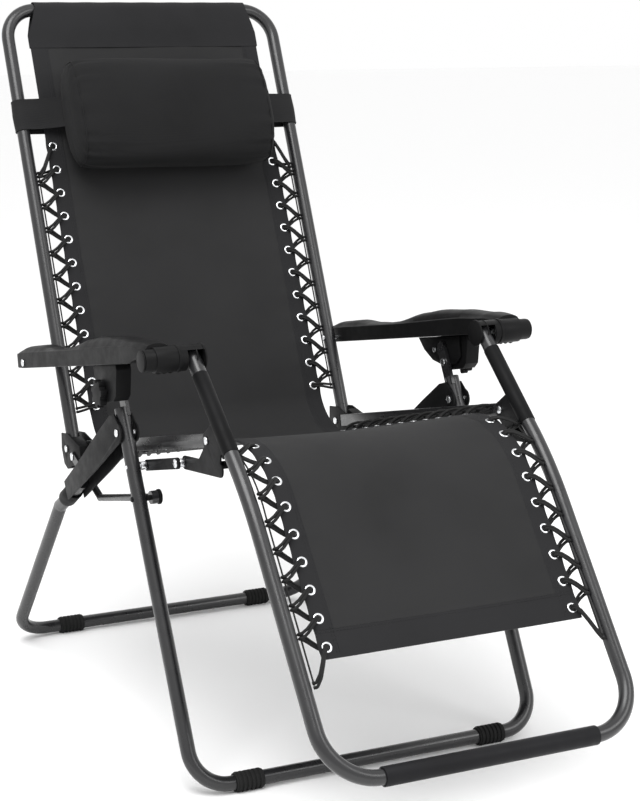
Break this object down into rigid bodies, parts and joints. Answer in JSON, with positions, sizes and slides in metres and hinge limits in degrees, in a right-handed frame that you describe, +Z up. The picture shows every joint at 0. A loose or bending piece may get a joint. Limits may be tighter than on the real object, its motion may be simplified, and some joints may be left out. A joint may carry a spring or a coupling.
{
  "type": "zero gravity recliner",
  "caption": "Folding tube-frame recliner with a laced fabric sling, a padded headrest, sliding armrests and a linked footrest.",
  "frame": {"origin": "middle of the footprint box, on the floor", "axes": "+X forward, the way the sitter faces; +Y to the sitter's left; +Z up"},
  "size_m": [1.2526, 0.644, 1.1209],
  "materials": {
    "frame_steel": "semi-gloss black powder coat",
    "black_plastic": "moulded black, fine grain",
    "rubber": "ribbed black rubber",
    "bright_steel": "zinc plated",
    "sling_fabric": "woven black mesh fabric",
    "pillow_fabric": "black woven cover",
    "cord": "black elastic cord"
  },
  "bodies": {
    "front_legs": {"front_leg_frame": "frame_steel", "front_feet": "rubber"},
    "rear_legs": {"rear_leg_frame": "frame_steel", "rear_leg_clevises": "frame_steel", "rear_leg_sleeves": "black_plastic", "rear_feet": "rubber", "clevis_rivets": "bright_steel"},
    "slide_housings": {"lock_housings": "black_plastic", "slide_plates": "frame_steel", "plate_bolts": "bright_steel", "clamp_bolts": "bright_steel"},
    "lock_knob_right": {"lock_knob_right": "black_plastic"},
    "lock_knob_left": {"lock_knob_left": "black_plastic"},
    "armrests": {"armrest_right": "black_plastic", "armrest_left": "black_plastic", "armrest_barrels": "black_plastic", "barrel_caps": "black_plastic", "armrest_rivets": "bright_steel"},
    "backrest": {"backrest_frame": "frame_steel", "backrest_sheet": "sling_fabric", "backrest_eyelets": "bright_steel", "backrest_lacing": "cord"},
    "headrest": {"headrest_pillow": "pillow_fabric", "headrest_straps": "pillow_fabric"},
    "seat": {"seat_rails": "frame_steel", "rear_hinge_casings": "frame_steel", "rear_hinge_bolts": "bright_steel", "tie_rod_pins": "bright_steel", "seat_sheet": "sling_fabric", "seat_eyelets": "bright_steel", "seat_lacing": "cord"},
    "footrest": {"footrest_frame": "frame_steel", "footrest_shafts": "bright_steel", "knee_sleeves": "black_plastic", "knee_brackets": "frame_steel", "knee_rivets": "bright_steel", "link_pins": "bright_steel", "footrest_sheet": "sling_fabric", "footrest_eyelets": "bright_steel", "footrest_lacing": "cord", "footrest_bar_sleeve": "black_plastic"},
    "control_links": {"control_links": "frame_steel", "link_rivets": "bright_steel"},
    "tie_rods": {"tie_rods": "frame_steel", "tie_rod_caps": "black_plastic"}
  },
  "joints": [
    {"name": "housing_tilt", "type": "hinge", "parent": "front_legs", "child": "slide_housings", "pos_m": [-0.0023, 0, 0.546], "axis": [0, -1, 0], "range_deg": [0, 21.22]},
    {"name": "armrest_slide", "type": "slide", "parent": "slide_housings", "child": "armrests", "axis": [-0.9867, 0, -0.1626], "range_m": [0, 0.0933]},
    {"name": "backrest_recline", "type": "hinge", "parent": "armrests", "child": "backrest", "pos_m": [-0.3623, 0, 0.535], "axis": [0, -1, 0], "range_deg": [0, 14.86]},
    {"name": "seat_hinge", "type": "hinge", "parent": "backrest", "child": "seat", "pos_m": [-0.3023, 0, 0.396], "axis": [0, -1, 0], "range_deg": [-13.99, 0]},
    {"name": "knee_hinge", "type": "hinge", "parent": "seat", "child": "footrest", "pos_m": [0.2477, 0, 0.517], "axis": [0, -1, 0], "range_deg": [0, 17.84]},
    {"name": "tie_rod_hinge", "type": "hinge", "parent": "front_legs", "child": "tie_rods", "pos_m": [0.0747, 0, 0.398], "axis": [0, -1, 0], "range_deg": [0, 17.16]},
    {"name": "control_link_hinge", "type": "hinge", "parent": "front_legs", "child": "control_links", "pos_m": [0.0517, 0, 0.442], "axis": [0, -1, 0], "range_deg": [0, 22.09]},
    {"name": "rear_leg_fold", "type": "hinge", "parent": "front_legs", "child": "rear_legs", "pos_m": [0.0277, 0, 0.49], "axis": [0, -1, 0], "range_deg": [0, 55]},
    {"name": "lock_knob_right_turn", "type": "hinge", "parent": "slide_housings", "child": "lock_knob_right", "pos_m": [-0.0023, -0.317, 0.546], "axis": [0, -1, 0], "range_deg": [0, 180]},
    {"name": "lock_knob_left_turn", "type": "hinge", "parent": "slide_housings", "child": "lock_knob_left", "pos_m": [-0.0023, 0.317, 0.546], "axis": [0, 1, 0], "range_deg": [0, 180]},
    {"name": "headrest_slide", "type": "slide", "parent": "backrest", "child": "headrest", "axis": [-0.4004, 0, 0.9164], "range_m": [-0.06, 0.06]}
  ],
  "couplings": [
    {"joint": "housing_tilt", "follows": "armrest_slide", "rad_per_m": 3.9608},
    {"joint": "backrest_recline", "follows": "armrest_slide", "rad_per_m": 2.7706},
    {"joint": "seat_hinge", "follows": "armrest_slide", "rad_per_m": -2.607},
    {"joint": "knee_hinge", "follows": "armrest_slide", "rad_per_m": 3.328},
    {"joint": "tie_rod_hinge", "follows": "armrest_slide", "rad_per_m": 3.2014},
    {"joint": "control_link_hinge", "follows": "armrest_slide", "rad_per_m": 4.1237}
  ]
}
